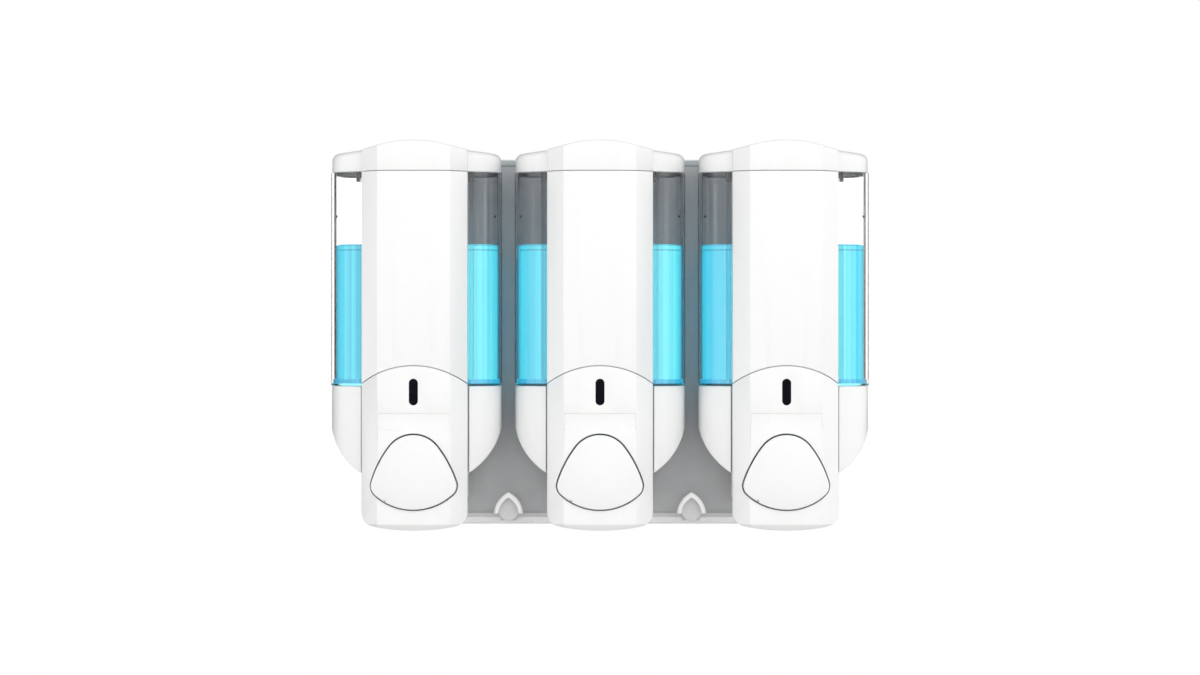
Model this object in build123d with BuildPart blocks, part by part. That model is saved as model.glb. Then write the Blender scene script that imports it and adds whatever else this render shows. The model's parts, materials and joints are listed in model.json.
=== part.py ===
"""Wall mounted soap dispenser with three chambers on one backplate.

Millimetres, +Z up. X runs along the row of chambers, the front faces -Y, and the wall is the plane
Y = 0. The origin is the centre of the four wall screw holes, on the wall.
"""

from build123d import *
import os

os.makedirs("parts", exist_ok=True)

# ---- Row of chambers
PITCH = 97.5
CHAMBERS = {"left": -PITCH, "middle": 0.0, "right": PITCH}
WALL = 2.2
ROOM = 60.0

# ---- Reservoir, seen from above
TANK_HALF = 45.45
TANK_BACK = -9.0
TANK_FRONT = -56.0
TANK_WIDEST = -31.0
BACK_CORNER = 20.0
SIDE_ARC = 16.0
TANK_WALL = 2.5
RECESS_HALF = 28.0
RECESS_Y = -46.5
TANK_TOP = 87.3
GROOVE_TOP = -22.0
FOOT_GROOVE = 1.3
TANK_FLOOR = -24.4
TANK_BASE = -25.4
SOAP_LEVEL = 48.4
SOAP_GAP = 0.1

# ---- Sump and neck under the reservoir
SUMP_SIZE = (28.0, 17.0)
SUMP_Y = -34.9
SUMP_BOTTOM = -50.0
SUMP_CORNER = 3.5
SUMP_WALL = 2.2
NECK_R = 3.9
NECK_BORE_R = 2.4
NECK_BOTTOM = -58.0
SPIGOT_INSET = 3.2
SPIGOT_WALL = 1.8
SPIGOT_DEPTH = 4.0
NUB_X = 41.9
NUB_Z = 64.0
NUB_BACK = -39.8
NUB_LENGTH = 1.9
NUB_R = 0.6

# ---- Front column, seen from above
COLUMN_HALF = 27.8
COLUMN_BACK = -46.7
FACETS = [(27.8, -55.0), (19.0, -65.0), (9.3, -66.5)]
COLUMN_FRONT = FACETS[-1][1]
FACET_ROUND = 1.2
COLUMN_TOP = 87.2
SEAM_APEX = -14.5
SEAM_R = 45.2
SEAM_GAP = 0.45
COVER_SHOULDER = -97.6
COVER_BOTTOM = -101.0
COVER_CORNER = 7.0
COVER_LIP = 3.2
LIP_TAPER = 35
SLOT_SIZE = (13.9, 4.7)
SLOT_Z = -28.5
LABEL_SIZE = (37.4, 8.4)
LABEL_Z = -43.9
LABEL_DEPTH = 0.4
TONGUE_PLAY = 0.1
TONGUE_WALL = 1.2
TONGUE_RISE = 2.5
LENS_PLAY = 0.1
LENS_SINK = 0.5
LENS_FLANGE = 2.6
LENS_BACKING = 1.2

# ---- Lid
LID_INSET = 0.55
LID_BOTTOM = 87.5
LID_EDGE_R = 3.7
SHOULDER_OUT = (41.2, 97.4)
SHOULDER_IN = (31.5, 98.5)
DOME_POINTS = [(21.0, 100.3), (10.6, 102.6)]
DOME_TOP = 103.3
TAB_X = 29.45
TAB_WIDTH = 2.1
TAB_BOTTOM = 82.2
TAB_Y = -45.6
TAB_DEPTH = 2.2
TAB_PLAY = 0.15
BROW_R = 1.0
SKIRT_PLAY = 0.35
SKIRT_WALL = 1.5
SKIRT_DEPTH = 2.0
BRIDGE_BACK = -40.0

# ---- Lower housing
HOUSING_INSET = 0.45
HOUSING_TOP = -25.6
HOUSING_SHOULDER = -45.0
HOUSING_BEND = (39.3, -61.0)
BAY_HALF = 27.0
BAY_TOP = -72.2
HOUSING_BOTTOM = -90.0
BAY_CORNER = 6.0
FOOT_X = 9.0
FOOT_Z = -60.0
FOOT_SIZE = (6.0, 12.0)

# ---- Button
BUTTON_TOP = -51.0
BUTTON_BOTTOM = -89.8
BUTTON_HALF = 22.3
BUTTON_WIDEST = -77.6
TOP_ARC = 15.5
CORNER_ARC = 6.0
FLANK_ARC = 60.0
BUTTON_GAP = 0.85
BUTTON_WALL = 2.0
CROWN_FRONT = -71.5
CROWN_R = 45.0
CROWN_SWEEP_R = 90.0
CROWN_Z = -71.0
CROWN_HALF = 27.0
CROWN_DEPTH = 25.0
CROWN_SWING = 36.0
SKIRT_BACK = -54.5
FLANGE_FRONT = -55.6
FLANGE_PROUD = 1.9

# ---- Pump
PUMP_Z = -75.0
PUMP_Y = -37.0
BORE_R = 8.0
BARREL_R = 9.8
BARREL_FRONT = -54.5
BARREL_BACK = -27.0
BORE_BACK = -29.0
SEAT_FRONT = -48.4
SEAT_BACK = -46.1
EAR_X = 14.0
EAR_R = 4.5
SOCKET_R = 6.2
SOCKET_BORE_R = 4.05
SOCKET_TOP = -53.0
VALVE_SEAT_Z = -64.2
STUB_R = 4.6
STUB_BORE_R = 3.0
STUB_BOTTOM = -94.0
ROD_R = 3.2
ROD_FRONT = -67.5
ROD_PLAY = 0.07
BARREL_PLAY = 0.25
GROOVE_EDGE = 0.9
HEAD_FRONT = -51.5
HEAD_BACK = -47.5
HEAD_R = 7.8
SEAL_R = 7.95
SEAL_GROOVE_R = 6.4
NUT_FRONT = -57.0
NUT_BACK = -50.6
NUT_R = 11.5
BOSS_R = 5.0
SPRING_R = 6.6
WIRE_R = 0.45
WIRE_SIDES = 12
SPRING_TURNS = 4.5
SPRING_Y = (-57.55, -68.25)
BOSS_BACK = -64.0
SCREW_R = 1.15
SCREW_TIP = -41.4
SCREW_HEAD = (2.4, 2.0)
BOSS_DEPTH = 5.5
NOZZLE_R = 7.0
NOZZLE_TOP = -91.0
NOZZLE_SHOULDER = -94.0
NOZZLE_BOTTOM = -99.5
NOZZLE_TIP_R = 4.4
NOZZLE_BORE_R = 2.9
VALVE_RIM = 0.9

# Half sections of the valves: radius, then height above the seat or drop below the stub
FLAP_SECTION = [
    (0, 1.4), (1.4, 1.2), (3.7, 0.5), (3.7, 0), (1.0, 0), (1.0, -1.6), (1.6, -2.2), (0, -3.0),
]
DUCKBILL_SECTION = [
    (1.5, 0), (4.5, 0), (4.5, VALVE_RIM), (2.5, VALVE_RIM),
    (2.5, 2.2), (0.7, 4.6), (0, 4.6), (0, 3.8), (1.5, 2.0),
]

# ---- Backplate
PLATE_HALF = 115.5
PLATE_TOP = 95.9
PLATE_BOTTOM = -100.4
PLATE_CORNER = 8.0
SHEET = 3.2
RIM_WIDTH = 3.7
RIM_Y = 6.0
BOTTOM_RIM = 6.4
RIM_SLOPE = 2.75
STEP_Z = -71.3
STEP_DEPTH = 0.5
STEP_HEIGHT = 22.0
RIM_ROUND = 1.5
PAD_CORNER = 4.0
SCREW_X = PITCH
SCREW_Z = 70.0
SCREW_HOLE_R = 2.25
SCREW_HEAD_R = 4.2
PAD_SIZE = (52.0, 120.0)
PAD_X = PITCH / 2
PAD_DEPTH = 1.0

# ---- T-shaped lug on the plate and its slot on the reservoir
LUG_BOTTOM = 47.0
LUG_TOP = 60.6
LUG_STEM_HALF = 4.0
LUG_HEAD_HALF = 8.0
LUG_HEAD_BACK = 5.5
LUG_HEAD_FRONT = 8.2
HANGER_HALF = 11.5
HANGER_Z = (46.0, 64.0)
HANGER_BACK = 3.6
SLOT_PLAY = 0.35

# ---- Hooks
HOOK_X = PITCH / 2
ARCH_TOP = -82.5
ARCH_FOOT = -93.6
ARCH_HALF = 7.65
ARCH_MID = (5.5, -87.2)
ARCH_WIDTH = 2.2
INNER_MID = (3.75, -88.5)
INNER_TOP = -85.2
TONGUE_BOTTOM = -97.6
TONGUE_HALF = 5.4
TONGUE_BACK = 25.0
TONGUE_FRONT = 27.0
ARCH_PROUD = 4.2
SHELF = 2.2
FOOT_TOP = -86.0
FOOT_DEPTH = 2.2
FOOT_HALF = 4.4
ARCH_BEVEL = 0.8
PEG_R = 2.0
PEG_Z = -91.0


# ---- Planes
def level(x, z):
    """Horizontal plane at height z, centred on x."""
    return Plane(origin=(x, 0, z))


def upright(x, y=0.0):
    """Upright plane that faces the front, at depth y: its own axes are X and Z."""
    return Plane(origin=(x, y, 0), x_dir=(1, 0, 0), z_dir=(0, -1, 0))


def sideways(x):
    """Upright plane across the row: its own axes are Y and Z."""
    return Plane(origin=(x, 0, 0), x_dir=(0, 1, 0), z_dir=(1, 0, 0))


def finish(piece, name):
    """Label a finished piece and write it."""
    piece.part.label = name
    export_step(piece.part, f"parts/{name}.step")


# ---- Outlines: each is drawn on its own, then added to the sketch that is open
def tank_outline(inset, mode=Mode.ADD):
    """Plan of a chamber: flat back, round back corners, three arcs round the front."""
    arc_x = TANK_HALF - SIDE_ARC
    depth = TANK_WIDEST - TANK_FRONT
    front_r = (arc_x**2 + depth**2 - SIDE_ARC**2) / (2 * (depth - SIDE_ARC))
    front_c = Vector(0, TANK_FRONT + front_r)
    side_c = Vector(arc_x, TANK_WIDEST)
    back_c = Vector(TANK_HALF - BACK_CORNER, TANK_BACK - BACK_CORNER)
    half = TANK_HALF - inset
    meeting = (side_c - front_c).normalized()
    side_middle = side_c + (Vector(1, 0) + meeting).normalized() * (SIDE_ARC - inset)
    front_middle = front_c + (Vector(0, -1) + meeting).normalized() * (front_r - inset)
    tangent = side_c + meeting * (SIDE_ARC - inset)
    back = back_c + Vector(0, BACK_CORNER - inset)
    back_middle = back_c + Vector(1, 1).normalized() * (BACK_CORNER - inset)
    with BuildLine() as outline:
        Line((0, back.Y), back)
        ThreePointArc(back, back_middle, (half, back_c.Y))
        Line((half, back_c.Y), (half, TANK_WIDEST))
        ThreePointArc((half, TANK_WIDEST), side_middle, tangent)
        ThreePointArc(tangent, front_middle, (0, TANK_FRONT + inset))
        mirror(about=Plane.YZ)
    make_face(outline.edges(), mode=mode)


def chamber_plan(inset, mode=Mode.ADD):
    """Plan of a chamber with the recess in its front that the column stands in."""
    half = RECESS_HALF + inset
    with BuildSketch() as plan:
        tank_outline(inset)
        with Locations((0, RECESS_Y + inset)):
            Rectangle(2 * half, ROOM, align=(Align.CENTER, Align.MAX), mode=Mode.SUBTRACT)
    add(plan.sketch, mode=mode)


def column_plan(inset, mode=Mode.ADD):
    """Plan of the front column: five flats across the front and two straight sides."""
    left = [(-x, y) for x, y in reversed(FACETS)]
    with BuildSketch() as plan:
        with BuildLine() as outline:
            Polyline((COLUMN_HALF, COLUMN_BACK), *FACETS, *left, (-COLUMN_HALF, COLUMN_BACK), close=True)
        make_face(outline.edges())
        front = [v for v in plan.vertices() if v.Y < COLUMN_BACK - 1]
        fillet(front, FACET_ROUND)
        if inset:
            offset(amount=-inset, kind=Kind.INTERSECTION, mode=Mode.REPLACE)
    add(plan.sketch, mode=mode)


def lid_profile(drop):
    """Front view of the lid: upright sides, sloping shoulders and the dome between them."""
    half = TANK_HALF - LID_INSET - drop
    slope = (SHOULDER_IN[1] - SHOULDER_OUT[1]) / (SHOULDER_OUT[0] - SHOULDER_IN[0])
    corner = (half, SHOULDER_OUT[1] - drop - slope * (half - SHOULDER_OUT[0]))
    foot = (SHOULDER_IN[0], SHOULDER_IN[1] - drop)
    dome = [(x, z - drop) for x, z in DOME_POINTS]
    with BuildLine() as outline:
        Polyline((0, LID_BOTTOM), (half, LID_BOTTOM), corner, foot)
        Spline(foot, *dome, (0, DOME_TOP - drop), tangents=[(-1, slope), (-1, 0)])
        mirror(about=Plane.YZ)
    make_face(outline.edges())


def housing_profile():
    """Front view of the lower housing: it curves in to the pump bay below."""
    corner_top = (BAY_HALF, HOUSING_BOTTOM + BAY_CORNER)
    corner_end = (BAY_HALF - BAY_CORNER, HOUSING_BOTTOM)
    with BuildLine() as outline:
        Line((0, HOUSING_TOP), (TANK_HALF, HOUSING_TOP))
        Line((TANK_HALF, HOUSING_TOP), (TANK_HALF, HOUSING_SHOULDER))
        ThreePointArc((TANK_HALF, HOUSING_SHOULDER), HOUSING_BEND, (BAY_HALF, BAY_TOP))
        Line((BAY_HALF, BAY_TOP), corner_top)
        RadiusArc(corner_top, corner_end, BAY_CORNER)
        Line(corner_end, (0, HOUSING_BOTTOM))
        mirror(about=Plane.YZ)
    make_face(outline.edges())


def button_outline(grow=0.0, mode=Mode.ADD):
    """Front view of the button: a rounded triangle with its point up, from tangent arcs."""
    top_c = Vector(0, BUTTON_TOP - TOP_ARC)
    corner_c = Vector(BUTTON_HALF - CORNER_ARC, BUTTON_WIDEST)
    drop = BUTTON_WIDEST - BUTTON_BOTTOM
    bottom_arc = (corner_c.X**2 + drop**2 - CORNER_ARC**2) / (2 * (drop - CORNER_ARC))
    bottom_c = Vector(0, BUTTON_BOTTOM + bottom_arc)
    side_c = shared_centre(top_c, FLANK_ARC - TOP_ARC, corner_c, FLANK_ARC - CORNER_ARC)
    top_r, corner_r = TOP_ARC + grow, CORNER_ARC + grow
    flank_start = top_c + (top_c - side_c).normalized() * top_r
    flank_end = corner_c + (corner_c - side_c).normalized() * corner_r
    corner_end = corner_c + (corner_c - bottom_c).normalized() * corner_r
    flank_middle = side_c + (flank_start + flank_end - side_c * 2).normalized() * (FLANK_ARC + grow)
    corner_middle = corner_c + (flank_end + corner_end - corner_c * 2).normalized() * corner_r
    top = top_c + Vector(0, top_r)
    top_middle = top_c + (top + flank_start - top_c * 2).normalized() * top_r
    bottom = Vector(0, BUTTON_BOTTOM - grow)
    bottom_middle = bottom_c + (bottom + corner_end - bottom_c * 2).normalized() * (bottom_arc + grow)
    with BuildLine() as outline:
        ThreePointArc(top, top_middle, flank_start)
        ThreePointArc(flank_start, flank_middle, flank_end)
        ThreePointArc(flank_end, corner_middle, corner_end)
        ThreePointArc(corner_end, bottom_middle, bottom)
        mirror(about=Plane.YZ)
    make_face(outline.edges(), mode=mode)


def shared_centre(first, first_r, second, second_r):
    """Point at two given distances from two centres, on the far left side."""
    across = second - first
    gap = across.length
    along = (first_r**2 - second_r**2 + gap**2) / (2 * gap)
    aside = (first_r**2 - along**2) ** 0.5
    unit = across.normalized()
    return first + unit * along + Vector(unit.Y, -unit.X) * aside


def arch(half, foot, middle, top, mode=Mode.ADD):
    """Front view of a hook's pointed arch."""
    with BuildLine() as outline:
        Line((0, foot), (half, foot))
        ThreePointArc((half, foot), middle, (0, top))
        mirror(about=Plane.YZ)
    make_face(outline.edges(), mode=mode)


def cover_profile():
    """Front view of the front cover: the arched seam on top, round corners and a bowed bottom."""
    centre = SEAM_APEX - SEAM_R
    half = COLUMN_HALF
    with BuildSketch() as lower:
        with BuildLine() as outline:
            Polyline((half, COVER_SHOULDER), (half, centre), (-half, centre), (-half, COVER_SHOULDER))
            ThreePointArc((-half, COVER_SHOULDER), (0, COVER_BOTTOM), (half, COVER_SHOULDER))
        make_face(outline.edges())
        fillet(lower.vertices().group_by(Axis.Y)[0], COVER_CORNER)
    with BuildSketch() as view:
        with Locations((0, centre)):
            Circle(SEAM_R - SEAM_GAP)
            Rectangle(2 * half, ROOM, align=(Align.CENTER, Align.MIN), mode=Mode.INTERSECT)
        add(lower.sketch)
    add(view.sketch)


def column_hollow():
    """Plan of the hollow in the column, open at the back."""
    inner = 2 * (COLUMN_HALF - WALL)
    column_plan(WALL)
    with Locations((0, COLUMN_BACK - 2 * WALL)):
        Rectangle(inner, ROOM / 4, align=(Align.CENTER, Align.MIN))


# ---- Lid
def build_lid(x):
    """Cap with a dome, a skirt inside the reservoir's mouth and two snap tabs."""
    height = DOME_TOP - LID_BOTTOM
    with BuildPart() as core:
        with BuildSketch(upright(x, TANK_BACK - LID_INSET - WALL)):
            lid_profile(WALL)
        extrude(amount=ROOM)
        with BuildSketch(level(x, LID_BOTTOM)):
            tank_outline(LID_INSET + WALL)
            column_plan(WALL)
        extrude(amount=height, mode=Mode.INTERSECT)
    with BuildPart() as bridge:
        with BuildSketch(upright(x, BRIDGE_BACK)):
            lid_profile(0)
        extrude(amount=ROOM)
        with BuildSketch(level(x, LID_BOTTOM)):
            column_plan(0)
            with Locations((0, COLUMN_BACK)):
                Rectangle(2 * COLUMN_HALF, 2 * (BRIDGE_BACK - COLUMN_BACK))
        extrude(amount=height, mode=Mode.INTERSECT)
        brow = bridge.edges().filter_by(lambda e: e.center().Z > LID_BOTTOM + LID_EDGE_R)
        brow = brow.filter_by(lambda e: e.center().Y < COLUMN_BACK - 1 and abs(e.tangent_at(0.5).Z) < 0.7)
        fillet(brow, BROW_R)
    with BuildPart() as lid:
        with BuildSketch(upright(x)):
            lid_profile(0)
        extrude(amount=-TANK_FRONT)
        with BuildSketch(level(x, LID_BOTTOM)):
            tank_outline(LID_INSET)
        extrude(amount=height, mode=Mode.INTERSECT)
        rim = lid.edges().filter_by(lambda e: e.center().Z > LID_BOTTOM + LID_EDGE_R)
        rim = rim.filter_by(lambda e: abs(e.tangent_at(0.5).Z) < 0.7)
        outer = [e for e in rim if not (abs(e.tangent_at(0.5).Y) > 0.99 and abs(e.center().X - x) < 40)]
        fillet(outer, LID_EDGE_R)
        add(bridge.part)
        add(core.part, mode=Mode.SUBTRACT)
        with BuildSketch(level(x, SHOULDER_OUT[1] - WALL)):
            chamber_plan(TANK_WALL + SKIRT_PLAY)
            chamber_plan(TANK_WALL + SKIRT_PLAY + SKIRT_WALL, mode=Mode.SUBTRACT)
        extrude(amount=LID_BOTTOM - SKIRT_DEPTH - SHOULDER_OUT[1] + WALL)
        with BuildSketch(level(x, SHOULDER_OUT[1] - WALL)):
            with Locations((-TAB_X, TAB_Y), (TAB_X, TAB_Y)):
                Rectangle(TAB_WIDTH, TAB_DEPTH)
        extrude(amount=TAB_BOTTOM - SHOULDER_OUT[1] + WALL)
    return lid


# ---- Reservoir and the soap in it
def build_reservoir(x):
    """Clear tank with a sump and neck below and a hanger on its back."""
    with BuildPart() as tank:
        with BuildSketch(level(x, TANK_BASE)):
            chamber_plan(0)
        extrude(amount=TANK_TOP - TANK_BASE)
        with BuildSketch(level(x, GROOVE_TOP)):
            chamber_plan(TANK_WALL)
        extrude(amount=TANK_TOP - GROOVE_TOP, mode=Mode.SUBTRACT)
        with BuildSketch(level(x, TANK_FLOOR)):
            chamber_plan(TANK_WALL - FOOT_GROOVE)
        extrude(amount=GROOVE_TOP - TANK_FLOOR, mode=Mode.SUBTRACT)
        with BuildSketch(level(x, TANK_BASE)):
            with Locations((0, SUMP_Y)):
                RectangleRounded(*SUMP_SIZE, SUMP_CORNER)
        extrude(amount=SUMP_BOTTOM - TANK_BASE)
        with BuildSketch(level(x, SUMP_BOTTOM)):
            with Locations((0, PUMP_Y)):
                Circle(NECK_R)
        extrude(amount=NECK_BOTTOM - SUMP_BOTTOM)
        with BuildSketch(level(x, TANK_BASE)):
            chamber_plan(SPIGOT_INSET)
            chamber_plan(SPIGOT_INSET + SPIGOT_WALL, mode=Mode.SUBTRACT)
        extrude(amount=-SPIGOT_DEPTH)
        add(sump_space(x, 0), mode=Mode.SUBTRACT)
        with BuildSketch(level(x, TANK_TOP)):
            with Locations((-TAB_X, TAB_Y), (TAB_X, TAB_Y)):
                Rectangle(TAB_WIDTH + 4 * TAB_PLAY, TAB_DEPTH + 2 * TAB_PLAY)
        extrude(amount=TAB_BOTTOM - TAB_PLAY - TANK_TOP, mode=Mode.SUBTRACT)
        with BuildSketch(upright(x, NUB_BACK)):
            with Locations((-NUB_X, NUB_Z), (NUB_X, NUB_Z)):
                Circle(NUB_R)
        extrude(amount=NUB_LENGTH)
        add_hanger(x)
    return tank


def sump_space(x, gap):
    """Inside of the sump and neck, less a gap all round."""
    size = [length - 2 * (SUMP_WALL + gap) for length in SUMP_SIZE]
    floor = SUMP_BOTTOM + SUMP_WALL + gap
    with BuildPart() as space:
        with BuildSketch(level(x, TANK_FLOOR + gap)):
            with Locations((0, SUMP_Y)):
                RectangleRounded(*size, SUMP_CORNER - SUMP_WALL)
        extrude(amount=floor - TANK_FLOOR - gap)
        with BuildSketch(level(x, floor)):
            with Locations((0, PUMP_Y)):
                Circle(NECK_BORE_R - gap)
        extrude(amount=NECK_BOTTOM - floor)
    return space.part


def add_hanger(x):
    """Block on the reservoir's back with a T-shaped slot, open below and closed above."""
    low, high = HANGER_Z
    slot_top = LUG_TOP + SLOT_PLAY
    pocket_back = LUG_HEAD_BACK - SLOT_PLAY
    pocket_front = LUG_HEAD_FRONT + SLOT_PLAY
    with BuildPart() as hanger:
        with BuildSketch(level(x, low)):
            with Locations((0, -HANGER_BACK)):
                Rectangle(2 * HANGER_HALF, -TANK_BACK - HANGER_BACK, align=(Align.CENTER, Align.MAX))
        extrude(amount=high - low)
        with BuildSketch(level(x, low)):
            with Locations((0, -pocket_back)):
                width = 2 * (LUG_HEAD_HALF + SLOT_PLAY)
                Rectangle(width, pocket_front - pocket_back, align=(Align.CENTER, Align.MAX))
            with Locations((0, 0)):
                width = 2 * (LUG_STEM_HALF + SLOT_PLAY)
                Rectangle(width, pocket_back, align=(Align.CENTER, Align.MAX))
        extrude(amount=slot_top - low, mode=Mode.SUBTRACT)
    add(hanger.part)


def build_soap(x):
    """Soap up to its level, down into the sump and neck."""
    with BuildPart() as soap:
        with BuildSketch(level(x, GROOVE_TOP - SOAP_GAP)):
            chamber_plan(TANK_WALL + SOAP_GAP)
        extrude(amount=SOAP_LEVEL - GROOVE_TOP + SOAP_GAP)
        with BuildSketch(level(x, TANK_FLOOR + SOAP_GAP)):
            chamber_plan(TANK_WALL - FOOT_GROOVE + SOAP_GAP)
        extrude(amount=GROOVE_TOP - TANK_FLOOR - 2 * SOAP_GAP)
        add(sump_space(x, SOAP_GAP))
    return soap


# ---- Front column
def build_column_panel(x):
    """Upper panel of the column, closed on top, cut by the arched seam below."""
    bottom = SEAM_APEX - SEAM_R
    with BuildPart() as panel:
        with BuildSketch(level(x, COLUMN_TOP)):
            column_plan(0)
        extrude(amount=bottom - COLUMN_TOP)
        with BuildSketch(level(x, COLUMN_TOP - WALL)):
            column_hollow()
        extrude(amount=bottom - COLUMN_TOP, mode=Mode.SUBTRACT)
        with BuildSketch(upright(x)):
            with Locations((0, bottom)):
                Circle(SEAM_R)
        extrude(amount=2 * ROOM, mode=Mode.SUBTRACT)
    return panel


def seam_band(x, inset, top_r):
    """Band inside the column's front along the arched seam, up to a radius about its centre."""
    with BuildPart() as band:
        with BuildSketch(level(x, 0)):
            column_plan(inset)
            column_plan(WALL + TONGUE_PLAY + TONGUE_WALL, mode=Mode.SUBTRACT)
            with Locations((0, COLUMN_BACK)):
                Rectangle(2 * COLUMN_HALF, 4 * WALL, mode=Mode.SUBTRACT)
        extrude(amount=SEAM_APEX - SEAM_R)
        with BuildSketch(upright(x)):
            with Locations((0, SEAM_APEX - SEAM_R)):
                Circle(top_r)
                Circle(SEAM_R - 2 * TONGUE_RISE, mode=Mode.SUBTRACT)
        extrude(amount=2 * ROOM, mode=Mode.INTERSECT)
    return band.part


def build_front_cover(x):
    """Lower cover of the column, with the viewing slot, the label recess and the button's hole."""
    with BuildPart() as hollow:
        with BuildSketch(upright(x)):
            cover_profile()
            offset(amount=-WALL, kind=Kind.INTERSECTION, mode=Mode.REPLACE)
            with Locations((0, SEAM_APEX - SEAM_R)):
                Rectangle(2 * COLUMN_HALF, ROOM, align=(Align.CENTER, Align.MIN))
        extrude(amount=2 * ROOM)
        with BuildSketch(level(x, 0)):
            column_hollow()
        extrude(amount=COVER_BOTTOM, mode=Mode.INTERSECT)
    with BuildPart() as label:
        with BuildSketch(upright(x, COLUMN_BACK)):
            with Locations((0, LABEL_Z)):
                Rectangle(*LABEL_SIZE)
        extrude(amount=ROOM)
        with BuildSketch(level(x, 0)):
            column_plan(LABEL_DEPTH)
        extrude(amount=COVER_BOTTOM, mode=Mode.SUBTRACT)
    with BuildPart() as block:
        with BuildSketch(level(x, 0)):
            column_plan(0)
        extrude(amount=COVER_BOTTOM + COVER_LIP)
        with BuildSketch(level(x, COVER_BOTTOM + COVER_LIP)):
            column_plan(0)
        extrude(amount=-COVER_LIP, taper=LIP_TAPER)
    with BuildPart() as cover:
        with BuildSketch(upright(x)):
            cover_profile()
        extrude(amount=2 * ROOM)
        add(block.part, mode=Mode.INTERSECT)
        add(hollow.part, mode=Mode.SUBTRACT)
        add(seam_band(x, WALL - TONGUE_PLAY, SEAM_R - SEAM_GAP))
        add(seam_band(x, WALL + TONGUE_PLAY, SEAM_R + TONGUE_RISE))
        add(label.part, mode=Mode.SUBTRACT)
        with BuildSketch(upright(x, FACETS[0][1])):
            button_outline(BUTTON_GAP)
            with Locations((0, SLOT_Z)):
                SlotOverall(*SLOT_SIZE, rotation=90)
        extrude(amount=ROOM, mode=Mode.SUBTRACT)
    return cover


def build_window_lens(x):
    """Dark lens that plugs the viewing slot from behind."""
    back = COLUMN_FRONT + WALL
    with BuildPart() as lens:
        with BuildSketch(upright(x, back + LENS_PLAY)):
            with Locations((0, SLOT_Z)):
                SlotOverall(SLOT_SIZE[0] - 2 * LENS_PLAY, SLOT_SIZE[1] - 2 * LENS_PLAY, rotation=90)
        extrude(amount=WALL - LENS_SINK)
        with BuildSketch(upright(x, back + LENS_PLAY)):
            with Locations((0, SLOT_Z)):
                SlotOverall(SLOT_SIZE[0] + LENS_FLANGE, SLOT_SIZE[1] + LENS_FLANGE, rotation=90)
        extrude(amount=-LENS_BACKING)
    return lens


# ---- Button
def crown(x, sink):
    """Solid whose front is the button's curved face, sunk by a wall: an arc swung about a far axis."""
    radius = CROWN_R - sink
    front = sink - CROWN_SWEEP_R
    half = CROWN_HALF
    side = front + radius - (radius**2 - half**2) ** 0.5
    back = front + CROWN_DEPTH
    centre = (x, CROWN_FRONT + CROWN_SWEEP_R, CROWN_Z)
    with BuildPart() as solid:
        with BuildSketch(Plane(origin=centre).rotated((-CROWN_SWING / 2, 0, 0))):
            with BuildLine():
                ThreePointArc((-half, side), (0, front), (half, side))
                Polyline((half, side), (half, back), (-half, back), (-half, side))
            make_face()
        revolve(axis=Axis(centre, (1, 0, 0)), revolution_arc=CROWN_SWING)
    return solid.part


def build_button(x):
    """Hollow push button with a flange behind the cover and a boss for the rod."""
    reach = SKIRT_BACK - CROWN_FRONT + BUTTON_GAP
    with BuildPart() as hollow:
        with BuildSketch(upright(x, SKIRT_BACK)):
            button_outline(-BUTTON_WALL)
        extrude(amount=reach)
        add(crown(x, BUTTON_WALL), mode=Mode.INTERSECT)
    with BuildPart() as button:
        with BuildSketch(upright(x, SKIRT_BACK)):
            button_outline()
        extrude(amount=reach)
        add(crown(x, 0), mode=Mode.INTERSECT)
        with BuildSketch(upright(x, SKIRT_BACK)):
            button_outline(FLANGE_PROUD)
        extrude(amount=SKIRT_BACK - FLANGE_FRONT)
        add(hollow.part, mode=Mode.SUBTRACT)
        with BuildSketch(upright(x, BOSS_BACK)):
            with Locations((0, PUMP_Z)):
                Circle(BOSS_R)
        extrude(amount=BOSS_BACK - CROWN_FRONT - BUTTON_WALL / 2)
        with BuildSketch(upright(x, BOSS_BACK)):
            with Locations((0, PUMP_Z)):
                Circle(ROD_R)
        extrude(amount=BOSS_BACK - ROD_FRONT, mode=Mode.SUBTRACT)
    return button


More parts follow.
